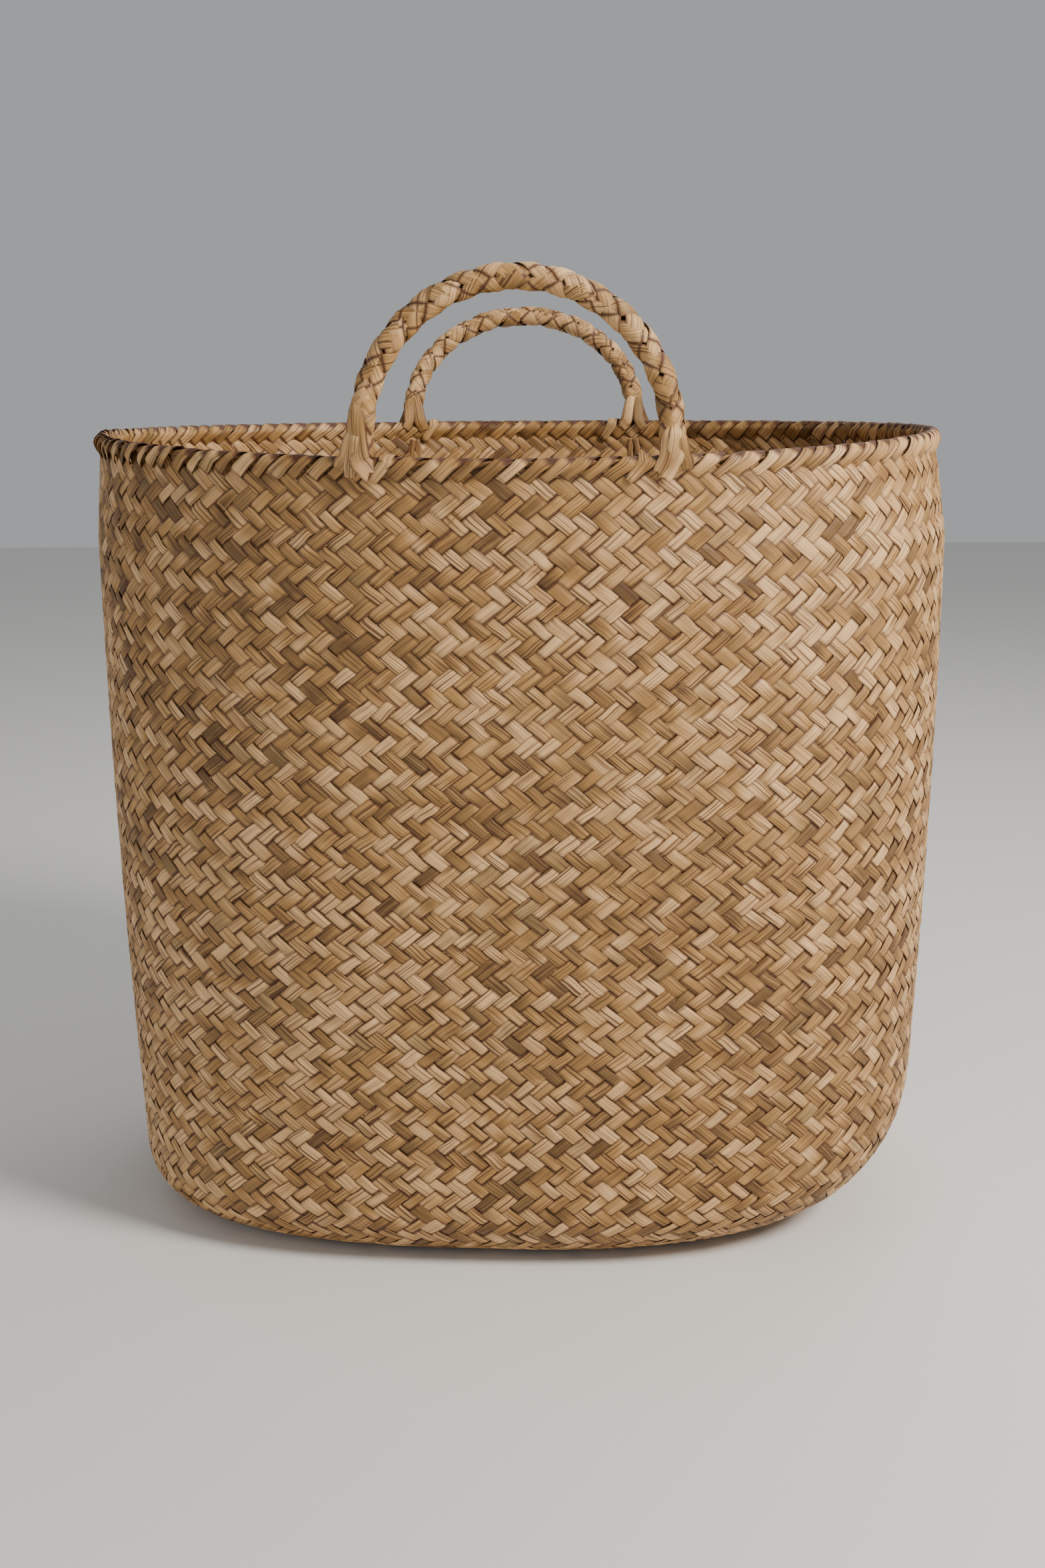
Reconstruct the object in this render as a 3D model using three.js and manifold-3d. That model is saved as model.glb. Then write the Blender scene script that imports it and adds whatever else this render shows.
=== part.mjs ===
// Plaited leaf basket with two stiff rope handles.
// Millimetres, +Z up, +X to the basket's right, -Y its front.
// The origin is on the floor, under the middle of the rim.
import * as THREE from "three";
import { mergeVertices } from "three/addons/utils/BufferGeometryUtils.js";
import Module from "manifold-3d";

const wasm = await Module();
wasm.setup();

// ---- Driving dimensions ----

const RIM_WIDTH = 435; // outside of the plait at the rim, along X
const RIM_DEPTH = 344; // outside of the plait at the rim, along Y
const FLOOR_WIDTH = 409; // the wall's own width if it ran straight down to the floor
const FLOOR_DEPTH = 275;
const HEIGHT = 407; // floor to the top of the rim at its ends and back
const RIM_SAG = 9; // how much lower the rim is in the middle of the front
const RIM_TUCK = 4; // how far the rim's two ends are drawn in
const SLACK_TUCK = 4; // how much more the slack +X end is drawn in
const TUCK_HEIGHT = 52; // height of wall that leans in
const BULGE = 3; // how far the wall swells out half way up
const RIM_SQUARENESS = 2.25; // superellipse exponent of the rim: 2 is an ellipse
const FLOOR_SQUARENESS = 2.9;
const FLOOR_TWIST = -3; // degrees that the hand-made base is turned against the rim
const TURN_RADIUS = 32; // the round turn from the wall to the base
const SLACK_TURN = 50; // how much wider the turn is at the slack +X end

const PLAIT = 2.4; // thickness of the plait, two strips one over the other
const GAP = 0.3; // clearance between neighbouring pieces
const STATIONS = 48; // facets round the basket

const ROLL_RADIUS = 3.2; // outside of the folded rim
const FOLD = 1; // thickness of the strips that fold over the rim
const FOLD_DROP = 16; // how far the fold reaches down from the top of the rim
const HEM_DEPTH = 26; // depth of the turned-in ends inside the wall, below the fold

const HANDLE_SPACING = 134; // between the middles of a handle's two legs
const HANDLE_THICKNESS = 12; // outside of the handle's plaited sleeve
const SLEEVE = 2; // thickness of the sleeve round the handle's cord
const HANDLE_LEG = 1; // straight stretch of each leg above its hinge
const LEG_CLEARANCE = 0.4; // between a leg's round lower end and the top of the rim
const HANDLE_OUTSET = 2.5; // hinge outside the middle of the wall
const FRONT_TILT = 0; // degrees outwards at rest
const BACK_TILT = 34;

const ROOT_WIDTH = 14; // the leg's strips, spread over the outside of the wall
const ROOT_DEPTH = 42; // how far they reach down from the top of the rim
const ROOT_THICKNESS = 1.4;
const LASHING_WIDTH = 8; // strip that ties the root over the rim
const LASHING_OFFSET = 12; // from the leg's middle to the lashing's middle
const LASHING_THICKNESS = 1;
const TAIL_WIDTH = 10; // end of the leg inside the wall
const TAIL_DEPTH = 60;
const TAIL_THICKNESS = 2;

// ---- The basket's form ----

const degrees = THREE.MathUtils.degToRad;
const mix = THREE.MathUtils.lerp;

// The turn's radius at a place round the basket: wider towards the slack end.
function turnRadius(angle) {
  return TURN_RADIUS + SLACK_TURN * Math.max(0, Math.cos(angle)) ** 2;
}

// Top of the rim at a place round the basket.
function rimTop(angle) {
  return HEIGHT - RIM_SAG * Math.max(0, -Math.sin(angle)) ** 2;
}

// How far the wall is drawn in at a place, near the two ends of the rim.
function tuck(angle, height) {
  const ends = Math.cos(angle) ** 2;
  const slack = Math.max(0, Math.cos(angle)) ** 2;
  const share = 1 - (rimTop(angle) - height) / TUCK_HEIGHT;
  return (RIM_TUCK * ends + SLACK_TUCK * slack) * THREE.MathUtils.clamp(share, 0, 1);
}

// A point of the wall's section at a height, moved in towards the axis by inset.
function sectionPoint(angle, height, inset) {
  const share = height / HEIGHT;
  const bulge = BULGE * Math.sin(Math.PI * THREE.MathUtils.clamp(share, 0, 1));
  const swell = bulge - tuck(angle, height);
  const halfWidth = mix(FLOOR_WIDTH, RIM_WIDTH, share) / 2 + swell - inset;
  const halfDepth = mix(FLOOR_DEPTH, RIM_DEPTH, share) / 2 + swell - inset;
  const power = mix(FLOOR_SQUARENESS, RIM_SQUARENESS, share);
  const twist = degrees(FLOOR_TWIST) * (1 - share);
  const c = Math.cos(angle);
  const s = Math.sin(angle);
  const reach = (Math.abs(c) ** power + Math.abs(s) ** power) ** (-1 / power);
  const x = halfWidth * reach * c;
  const y = halfDepth * reach * s;
  return [
    x * Math.cos(twist) - y * Math.sin(twist),
    x * Math.sin(twist) + y * Math.cos(twist),
    height,
  ];
}

// A point on the turn: bend runs from 0 at the wall to 1 at the base, depth is in from outside.
function turnPoint(angle, bend, depth) {
  const radius = turnRadius(angle);
  const swing = (bend * Math.PI) / 2;
  const inset = radius - (radius - depth) * Math.cos(swing);
  return sectionPoint(angle, radius - (radius - depth) * Math.sin(swing), inset);
}

// The angle at which the rim's middle surface reaches a given x on the front or back side.
function angleAt(x, side) {
  const halvings = 40;
  let low = 0;
  let high = Math.PI;
  for (let step = 0; step < halvings; step += 1) {
    const middle = (low + high) / 2;
    if (sectionPoint(middle * side, HEIGHT, PLAIT / 2)[0] > x) low = middle;
    else high = middle;
  }
  return low * side;
}

// ---- Solids ----

// A closed geometry from rows of points: each row is one closed section, and the rows either
// close into a ring or end in two flat caps.
function loft(rows, closed) {
  const size = rows[0].length;
  const positions = rows.flat(2);
  const index = [];
  const spans = closed ? rows.length : rows.length - 1;
  for (let row = 0; row < spans; row += 1) {
    const next = (row + 1) % rows.length;
    for (let i = 0; i < size; i += 1) {
      const j = (i + 1) % size;
      const [a, b, c, d] = [row * size + i, row * size + j, next * size + j, next * size + i];
      index.push(a, b, c, a, c, d);
    }
  }
  if (!closed) {
    const flat = rows[0].map((_, i) => new THREE.Vector2(...capPoint(rows[0], i)));
    const faces = THREE.ShapeUtils.triangulateShape(flat, []);
    const last = (rows.length - 1) * size;
    for (const [a, b, c] of faces) {
      index.push(a, c, b);
      index.push(last + a, last + b, last + c);
    }
  }
  const geometry = new THREE.BufferGeometry();
  geometry.setAttribute("position", new THREE.Float32BufferAttribute(positions, 3));
  geometry.setIndex(index);
  return facingOut(geometry);
}

// A cap's outline in two dimensions: distance out from the axis, and height.
function capPoint(row, i) {
  const [x, y, z] = row[i];
  return [Math.hypot(x, y), z];
}

function facingOut(geometry) {
  if (toSolid(geometry).volume() > 0) return geometry;
  const index = geometry.index.array;
  for (let i = 0; i < index.length; i += 3) {
    [index[i + 1], index[i + 2]] = [index[i + 2], index[i + 1]];
  }
  return geometry;
}

// Between three.js and manifold-3d, for the pieces that need a join or a cut.
function toSolid(geometry) {
  const bare = geometry.clone();
  bare.deleteAttribute("normal");
  bare.deleteAttribute("uv");
  const merged = mergeVertices(bare, 1e-4);
  return new wasm.Manifold(
    new wasm.Mesh({
      numProp: 3,
      vertProperties: merged.attributes.position.array,
      triVerts: new Uint32Array(merged.index.array),
    }),
  );
}

function toGeometry(solid) {
  const mesh = solid.getMesh();
  const geometry = new THREE.BufferGeometry();
  geometry.setAttribute("position", new THREE.BufferAttribute(mesh.vertProperties, 3));
  geometry.setIndex(new THREE.BufferAttribute(mesh.triVerts, 1));
  return geometry;
}

const straw = new THREE.MeshStandardMaterial({ color: 0xb8925c, roughness: 0.7, metalness: 0 });
const darkStraw = new THREE.MeshStandardMaterial({ color: 0x8f6b3f, roughness: 0.75, metalness: 0 });

function piece(name, geometry, material) {
  const mesh = new THREE.Mesh(geometry, material);
  mesh.geometry.computeVertexNormals();
  mesh.name = name;
  return mesh;
}

// ---- The plait: base, turn and wall ----

const WALL_ROWS = 5;
const TURN_ROWS = 5;
const HEM_ROWS = 2;

// Heights of the hem's rows above the top of the rim, from its lower edge up. The wall has the
// same rows there, so that the two lie face to face.
const hemRows = () => steps(HEM_ROWS).map((t) => -FOLD_DROP - GAP - (1 - t) * HEM_DEPTH);

function around(makeRow) {
  return Array.from({ length: STATIONS }, (_, i) => makeRow((i / STATIONS) * 2 * Math.PI));
}

function steps(count) {
  return Array.from({ length: count + 1 }, (_, i) => i / count);
}

function wall() {
  return loft(
    around((angle) => {
      const low = turnRadius(angle) + GAP;
      const high = rimTop(angle) - 2 * ROLL_RADIUS - GAP;
      const shoulder = rimTop(angle) - TUCK_HEIGHT;
      const heights = [
        ...steps(WALL_ROWS).map((t) => mix(low, shoulder, t)),
        ...hemRows().map((drop) => rimTop(angle) + drop),
        high,
      ];
      const outside = heights.map((height) => sectionPoint(angle, height, 0));
      const inside = heights.map((height) => sectionPoint(angle, height, PLAIT));
      return [...outside, ...inside.reverse()];
    }),
    true,
  );
}

function baseTurn() {
  return loft(
    around((angle) => {
      const outside = steps(TURN_ROWS).map((t) => turnPoint(angle, t, 0));
      const inside = steps(TURN_ROWS).map((t) => turnPoint(angle, 1 - t, PLAIT));
      return [...outside, ...inside];
    }),
    true,
  );
}

function basePanel() {
  const outline = around((angle) => sectionPoint(angle, 0, turnRadius(angle) + GAP));
  const shape = new THREE.Shape(outline.map(([x, y]) => new THREE.Vector2(x, y)));
  return new THREE.ExtrudeGeometry(shape, { depth: PLAIT, bevelEnabled: false });
}

// ---- The rim ----

// Points of a half circle over the rim, from the outside to the inside of the wall.
function arcOver(radius, count) {
  return steps(count).map((t) => [
    PLAIT / 2 - radius * Math.cos(Math.PI * t),
    -ROLL_RADIUS + radius * Math.sin(Math.PI * t),
  ]);
}

// A point given by depth in from the wall's outside and height from the top of the rim.
function rimPoint(angle, [depth, drop]) {
  return sectionPoint(angle, rimTop(angle) + drop, depth);
}

// The same point on the flat facets of the rings, for the pieces that lie against them.
function facetPoint(angle, at) {
  const place = (angle / (2 * Math.PI)) * STATIONS;
  const low = Math.floor(place);
  const [start, end] = [low, low + 1].map((i) => rimPoint((i / STATIONS) * 2 * Math.PI, at));
  return start.map((value, axis) => mix(value, end[axis], place - low));
}

const ROLL_SIDES = 4; // facets over the roll
const FOLD_LEAN = 0.7; // how much closer to the wall the fold lies at its lower edge

// The fold's two legs hug the wall below the roll.
function foldSection() {
  const outer = arcOver(ROLL_RADIUS, ROLL_SIDES);
  const inner = arcOver(ROLL_RADIUS - FOLD, ROLL_SIDES).reverse();
  const outside = PLAIT / 2 - ROLL_RADIUS + FOLD_LEAN;
  const inside = PLAIT / 2 + ROLL_RADIUS - FOLD_LEAN;
  return [
    ...outer,
    [inside, -FOLD_DROP],
    [inside - FOLD, -FOLD_DROP],
    ...inner,
    [outside + FOLD, -FOLD_DROP],
    [outside, -FOLD_DROP],
  ];
}

const rimFold = () =>
  loft(
    around((angle) => foldSection().map((at) => rimPoint(angle, at))),
    true,
  );

const CORD_RADIUS = ROLL_RADIUS - FOLD - GAP;
const CORD_SIDES = 6;

function rimCord() {
  const circle = steps(CORD_SIDES).slice(1);
  return loft(
    around((angle) =>
      circle.map((t) =>
        rimPoint(angle, [
          PLAIT / 2 + CORD_RADIUS * Math.cos(2 * Math.PI * t),
          -ROLL_RADIUS + CORD_RADIUS * Math.sin(2 * Math.PI * t),
        ]),
      ),
    ),
    true,
  );
}

const HEM_OUTSIDE = PLAIT + GAP;

function innerHem() {
  const section = [
    ...hemRows().map((drop) => [HEM_OUTSIDE, drop]),
    ...hemRows().map((drop) => [HEM_OUTSIDE + FOLD, drop]).reverse(),
  ];
  return loft(
    around((angle) => section.map((at) => rimPoint(angle, at))),
    true,
  );
}

// ---- Handles ----

// A handle's middle line: two straight legs joined by a half circle, in its own XZ plane.
class HandleLine extends THREE.Curve {
  constructor(start) {
    super();
    this.start = start; // how far the line reaches below the hinge
  }

  getPoint(t, target = new THREE.Vector3()) {
    const radius = HANDLE_SPACING / 2;
    const leg = HANDLE_LEG + this.start;
    const along = t * (2 * leg + Math.PI * radius);
    if (along < leg) return target.set(-radius, 0, along - this.start);
    const arc = Math.PI * radius;
    if (along > leg + arc) return target.set(radius, 0, 2 * leg + arc - along - this.start);
    const turn = (along - leg) / radius;
    return target.set(-radius * Math.cos(turn), 0, HANDLE_LEG + radius * Math.sin(turn));
  }
}

const HANDLE_STEPS = 22;
const SLEEVE_SIDES = 10;
const BALL_ROWS = 8;
const PATCH_SLICES = 3;

function handleTube(radius, start) {
  const section = new THREE.Shape();
  section.absarc(0, 0, radius, 0, 2 * Math.PI);
  return new THREE.ExtrudeGeometry(section, {
    steps: HANDLE_STEPS,
    curveSegments: SLEEVE_SIDES,
    bevelEnabled: false,
    extrudePath: new HandleLine(start),
  });
}

// The sleeve is a tube with a round lower end at each hinge, open at the bottom round its core.
function handleSleeve() {
  const radius = HANDLE_THICKNESS / 2;
  const bore = radius - SLEEVE;
  let solid = toSolid(handleTube(radius, 0));
  for (const side of [-1, 1]) {
    const ball = new THREE.SphereGeometry(radius, SLEEVE_SIDES, BALL_ROWS);
    ball.rotateX(Math.PI / 2);
    ball.translate((side * HANDLE_SPACING) / 2, 0, 0);
    solid = solid.add(toSolid(ball));
  }
  return toGeometry(solid.subtract(toSolid(handleTube(bore, HANDLE_THICKNESS))));
}

// The cord fills the sleeve and stops short of the lower end of each leg.
const handleCore = () => handleTube(HANDLE_THICKNESS / 2 - SLEEVE - GAP, HANDLE_THICKNESS / 4);

// A patch of the rim or wall, from x - width / 2 to x + width / 2 on one side of the basket.
function patch(x, side, width, section) {
  return loft(
    steps(PATCH_SLICES).map((t) => {
      const angle = angleAt(x + (t - 0.5) * width, side);
      return section.map((at) => facetPoint(angle, at));
    }),
    false,
  );
}

// The root lies on the outside of the fold and then on the wall.
function rootSection() {
  const onRoll = PLAIT / 2 - ROLL_RADIUS - GAP;
  const onFold = onRoll + FOLD_LEAN;
  return [
    [onRoll, -ROLL_RADIUS],
    [onFold, -FOLD_DROP - GAP],
    [-GAP, -FOLD_DROP - ROLL_RADIUS],
    [-GAP, -ROOT_DEPTH],
    [-GAP - ROOT_THICKNESS, -ROOT_DEPTH],
    [-GAP - ROOT_THICKNESS, -FOLD_DROP - ROLL_RADIUS],
    [onFold - ROOT_THICKNESS, -FOLD_DROP - GAP],
    [onRoll - ROOT_THICKNESS, -ROLL_RADIUS],
  ];
}

// The lashing goes over the fold, from the outside of the wall to the inside.
function lashingSection() {
  const near = ROLL_RADIUS + GAP;
  return [
    ...arcOver(near + LASHING_THICKNESS, ROLL_SIDES),
    [PLAIT / 2 + near + LASHING_THICKNESS - FOLD_LEAN, -FOLD_DROP],
    [PLAIT / 2 + near - FOLD_LEAN, -FOLD_DROP],
    ...arcOver(near, ROLL_SIDES).reverse(),
    [PLAIT / 2 - near + FOLD_LEAN, -FOLD_DROP],
    [PLAIT / 2 - near - LASHING_THICKNESS + FOLD_LEAN, -FOLD_DROP],
  ];
}

function tailSection() {
  const near = HEM_OUTSIDE + FOLD + GAP;
  return [
    [near, -FOLD_DROP - GAP],
    [near + TAIL_THICKNESS, -FOLD_DROP - GAP],
    [near + TAIL_THICKNESS, -TAIL_DEPTH],
    [near, -TAIL_DEPTH],
  ];
}

function handleGroup(name, side, tilt) {
  const angle = angleAt(HANDLE_SPACING / 2, side);
  const rim = rimPoint(angle, [PLAIT / 2, 0]);
  const lift = HANDLE_THICKNESS / 2 + LEG_CLEARANCE;
  const group = new THREE.Group();
  group.position.set(0, rim[1] + side * HANDLE_OUTSET, rim[2] + lift);
  group.rotation.x = -side * degrees(tilt);
  group.add(piece(`${name}_handle_sleeve`, handleSleeve(), straw));
  group.add(piece(`${name}_handle_core`, handleCore(), darkStraw));
  return group;
}

function fastenings(name, side) {
  const group = new THREE.Group();
  for (const [hand, sign] of [["left", -1], ["right", 1]]) {
    const x = (sign * HANDLE_SPACING) / 2;
    const tied = x - sign * LASHING_OFFSET;
    group.add(piece(`${name}_${hand}_root`, patch(x, side, ROOT_WIDTH, rootSection()), straw));
    group.add(
      piece(`${name}_${hand}_lashing`, patch(tied, side, LASHING_WIDTH, lashingSection()), straw),
    );
    group.add(piece(`${name}_${hand}_tail`, patch(x, side, TAIL_WIDTH, tailSection()), darkStraw));
  }
  return group;
}

// ---- The basket ----

const basket = new THREE.Group();
basket.add(piece("base_panel", basePanel(), straw));
basket.add(piece("base_turn", baseTurn(), straw));
basket.add(piece("wall", wall(), straw));
basket.add(piece("rim_cord", rimCord(), darkStraw));
basket.add(piece("rim_fold", rimFold(), straw));
basket.add(piece("inner_hem", innerHem(), straw));
for (const [name, side, tilt] of [["front", -1, FRONT_TILT], ["back", 1, BACK_TILT]]) {
  basket.add(handleGroup(name, side, tilt));
  basket.add(fastenings(name, side));
}

export default basket;
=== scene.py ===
"""A tall oval basket plaited from flat leaf strips, with two rope handles.

The plait is one fabric of 132 long strips. Each strip starts at the rim, runs down the wall on a
slant, crosses the base and climbs the far side. Metres, +Z up, -Y the front.
"""

import math

import bpy
import numpy as np
from mathutils import Matrix, Vector


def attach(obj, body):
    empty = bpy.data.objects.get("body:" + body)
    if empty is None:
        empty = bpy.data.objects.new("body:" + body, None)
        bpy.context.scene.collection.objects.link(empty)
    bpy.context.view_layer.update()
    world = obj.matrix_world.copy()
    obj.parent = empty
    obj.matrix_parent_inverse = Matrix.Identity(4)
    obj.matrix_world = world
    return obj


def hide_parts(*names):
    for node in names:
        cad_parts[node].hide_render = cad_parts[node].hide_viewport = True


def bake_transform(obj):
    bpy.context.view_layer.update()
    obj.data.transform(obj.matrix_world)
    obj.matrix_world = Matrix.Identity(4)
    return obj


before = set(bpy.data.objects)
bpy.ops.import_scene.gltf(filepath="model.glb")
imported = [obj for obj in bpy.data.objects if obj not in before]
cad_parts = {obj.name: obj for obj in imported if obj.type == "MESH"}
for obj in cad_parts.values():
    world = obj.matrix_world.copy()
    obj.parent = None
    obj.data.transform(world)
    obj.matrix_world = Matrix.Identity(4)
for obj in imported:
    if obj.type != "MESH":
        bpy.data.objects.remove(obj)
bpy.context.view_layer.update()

MM = 0.001

# ---- The basket's form, as in the CAD model ----

RIM_WIDTH, RIM_DEPTH = 435 * MM, 344 * MM
FLOOR_WIDTH, FLOOR_DEPTH = 409 * MM, 275 * MM
HEIGHT = 407 * MM
RIM_SAG = 9 * MM
RIM_TUCK, SLACK_TUCK, TUCK_HEIGHT = 4 * MM, 4 * MM, 52 * MM
BULGE = 3 * MM
RIM_SQUARENESS, FLOOR_SQUARENESS = 2.25, 2.9
FLOOR_TWIST = math.radians(-3)
TURN_RADIUS, SLACK_TURN = 32 * MM, 50 * MM
PLAIT = 2.4 * MM
ROLL_RADIUS = 3.2 * MM

HANDLE_SPACING = 134 * MM
HANDLE_RADIUS = 6 * MM
HANDLE_LEG = 1 * MM
HANDLE_OUTSET = 2.5 * MM
LEG_CLEARANCE = 0.4 * MM
LASHING_OFFSET = 12 * MM
BACK_TILT = math.radians(34)

# ---- The plait ----

WIDE, DEEP = 40, 26  # strips across the base, counted along its two sides
ROUND = 2 * (WIDE + DEEP)  # strips round the wall in each direction
WALL_TOP = 52.6  # strips up the wall, from the border of the base to the roll of the rim
OVER_ROLL = 0.8  # strips that an end moves sideways as it goes over the roll
TUCK, TUCK_SPREAD = 3.1, 0.2  # strips that an end reaches down inside the wall, and their spread
STOP_SHORT = 0.1  # how far below the roll the other ends stop, in strips
BORDER_BEND = 0.83  # share of the turn that belongs to the wall
BASE_PITCH = 8.35 * MM  # between the rings of the base
BASE_SPAN = (7.83 * MM, 8.35 * MM)  # pitch of the strips in the middle of the base
BASE_MIDDLE = -18 * MM  # where the middle of that weave lies on X
RING_POINTS = 2881  # on the line by which lengths round the wall are measured

LEAF = 0.42 * MM  # thickness of a strip
OVER = 0.62 * MM  # how far a strip rises over the ones that it crosses
CROSSING_SHARE = 0.72  # share of the way between two crossings in which it changes sides
CROWN = 0.2 * MM  # how much its middle stands above its edges
CROWN_LEVEL = 0.35  # share of the crown that lies above the strip's own level
LEAST_CROWN = 0.2  # share of the crown that is left between two crossings
LEAF_PITCH = 6.1 * MM  # width of leaf that the texture gives to one strip's place
STRIP_HALF, HALF_SPREAD = 0.513, (-0.025, 0.015)  # half the width of a strip, in strips
WIDE_SHARE = 0.068  # how much wider than the average every other strip is, each side
WIDE_TONE = 0.7  # how dark the wider strips are beside the others
SLOPING_PAINTED_SHADE = 0.13  # painted shade: how much darker the strips of family "q" are, for the way the light falls on their slant
FLOAT_TONE = 0.24  # spread of the tone from one stretch of a strip to the next
WOBBLE, WIDTH_SPREAD = 0.035, 0.05  # unevenness of a strip's middle line, and of its width
TIP_SPREAD, LEVEL_SPREAD = 0.13 * MM, 0.07 * MM  # how unevenly it tips sideways and stands off
END_WIDTH, END_LENGTH = 0.55, 1.5  # width of a tucked end, and the crossings where it narrows

ROLL_LIFT = ROLL_RADIUS - LEAF - 0.15 * MM  # from the middle of the plait to a strip on the roll
RISE_FROM, RISE_LENGTH = -1.15, 1.0  # where an end starts to rise to the roll, in strips
HEM_LIFT, HEM_LENGTH = 0.45 * MM, 1.1  # how close to the wall it comes inside, and how soon
RIM_FROM, RIM_FADE_IN = -1.7, 0.9  # where the unevenness of the rim starts, in strips
RIM_TO, RIM_FADE_OUT = 0.3, 0.7  # where it starts to end
RIM_NARROW, LOOSE_NARROW = 0.12, 0.26  # how much narrower the ends are at the rim
RIM_LEAN, LOOSE_LEAN = 0.09, 0.16  # spread of their sideways lean, in strips
RIM_LIFT, LOOSE_LIFT = 0.34 * MM, 0.5 * MM  # how far their lower edges stand off
LOOSE_ANGLE, LOOSE_SPREAD = math.radians(200), math.radians(26)  # where the rim is loose

SAMPLES = 4  # sections for each crossing
SECTION = np.array([-1, -0.62, 0, 0.62, 1])  # across the upper side
UNDER = np.array([0.62, 0, -0.62])  # and back across the lower side
ACROSS = np.concatenate([SECTION, UNDER])  # once round a section
FACES = np.array([1] * len(SECTION) + [-1] * len(UNDER))
EDGES = (0, len(SECTION) - 1)  # the points of a section at its two edges
BUNDLE = 6  # neighbouring strips that share one object
TEXTURE_SHIFT = 40  # range within which each strip's texture is moved


def mix(a, b, t):
    return a + (b - a) * t


def smooth(t):
    t = np.clip(t, 0, 1)
    return t * t * (3 - 2 * t)


def unit(vectors):
    return vectors / np.linalg.norm(vectors, axis=-1, keepdims=True)


def lengths(line):
    """The length from the start of a line to each of its points."""
    return np.concatenate([[0], np.cumsum(np.linalg.norm(np.diff(line, axis=0), axis=1))])


def thinning(lateral):
    """The share of its thickness that a strip has across its width, which is 0 at its edges."""
    return np.sqrt(np.maximum(0, 1 - lateral**4))


def triples(*values):
    """Three values for each point of each section, in one array."""
    return np.stack(np.broadcast_arrays(*values), -1)


def turn_radius(angle):
    return TURN_RADIUS + SLACK_TURN * np.maximum(0, np.cos(angle)) ** 2


def rim_top(angle):
    return HEIGHT - RIM_SAG * np.maximum(0, -np.sin(angle)) ** 2


def tuck(angle, height):
    """How far the wall is drawn in, near the two ends of the rim."""
    share = np.clip(1 - (rim_top(angle) - height) / TUCK_HEIGHT, 0, 1)
    ends, slack = np.cos(angle) ** 2, np.maximum(0, np.cos(angle)) ** 2
    return (RIM_TUCK * ends + SLACK_TUCK * slack) * share


def section_point(angle, height, inset):
    """A point of the wall's section at a height, moved in towards the axis."""
    share = height / HEIGHT
    swell = BULGE * np.sin(np.pi * np.clip(share, 0, 1)) - tuck(angle, height)
    half_width = mix(FLOOR_WIDTH, RIM_WIDTH, share) / 2 + swell - inset
    half_depth = mix(FLOOR_DEPTH, RIM_DEPTH, share) / 2 + swell - inset
    power = mix(FLOOR_SQUARENESS, RIM_SQUARENESS, share)
    twist = FLOOR_TWIST * (1 - share)
    cosine, sine = np.cos(angle), np.sin(angle)
    reach = (np.abs(cosine) ** power + np.abs(sine) ** power) ** (-1 / power)
    x, y = half_width * reach * cosine, half_depth * reach * sine
    cosine, sine = np.cos(twist), np.sin(twist)
    return np.stack([x * cosine - y * sine, x * sine + y * cosine, height + 0 * x], -1)


RING_ANGLES = np.linspace(-np.pi / 2, 1.5 * np.pi, RING_POINTS)
RING_LENGTHS = lengths(section_point(RING_ANGLES, np.full(RING_POINTS, HEIGHT), PLAIT / 2))


def angle_of(place):
    """The angle round the basket of a place counted in strips from the front left corner."""
    share = np.mod((place - WIDE / 2) / ROUND, 1)
    return np.interp(share * RING_LENGTHS[-1], RING_LENGTHS, RING_ANGLES)


def angle_at(x, side):
    """The angle at which the rim reaches x on the front (-1) or the back (1)."""
    low, high = 0.0, math.pi
    halvings = 40
    for _ in range(halvings):
        middle = (low + high) / 2
        if section_point(np.array(middle * side), HEIGHT, PLAIT / 2)[0] > x:
            low = middle
        else:
            high = middle
    return low * side


def turn_point(angle, bend, depth):
    """A point of the turn from the wall (bend 0) to the base (bend 1)."""
    radius = turn_radius(angle)
    swing = bend * np.pi / 2
    inset = radius - (radius - depth) * np.cos(swing)
    return section_point(angle, radius - (radius - depth) * np.sin(swing), inset)


def wall_point(place, rise, depth):
    """A point of the wall: place and rise are counted in strips, depth is in from the outside.

    Past WALL_TOP the strip goes over the roll and then down again inside the wall.
    """
    angle = angle_of(place)
    radius = turn_radius(angle)
    top = rim_top(angle) - ROLL_RADIUS
    arc = BORDER_BEND * np.pi / 2 * radius
    along = rise / WALL_TOP * (arc + top - radius)
    folded = rise > WALL_TOP + OVER_ROLL
    inside = (2 * WALL_TOP + OVER_ROLL - rise) / WALL_TOP * (arc + top - radius)
    height = radius + np.where(folded, inside, along) - arc
    on_wall = section_point(angle, height, depth)

    swing = np.pi * (rise - WALL_TOP) / OVER_ROLL
    reach = PLAIT / 2 - depth
    over = section_point(
        angle, top + reach * np.sin(swing), PLAIT / 2 - reach * np.cos(swing)
    )
    on_turn = turn_point(angle, BORDER_BEND - along / (radius * np.pi / 2), depth)
    rolling = (rise > WALL_TOP) & ~folded
    point = np.where((along < arc)[..., None], on_turn, on_wall)
    return np.where(rolling[..., None], over, point)


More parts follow.
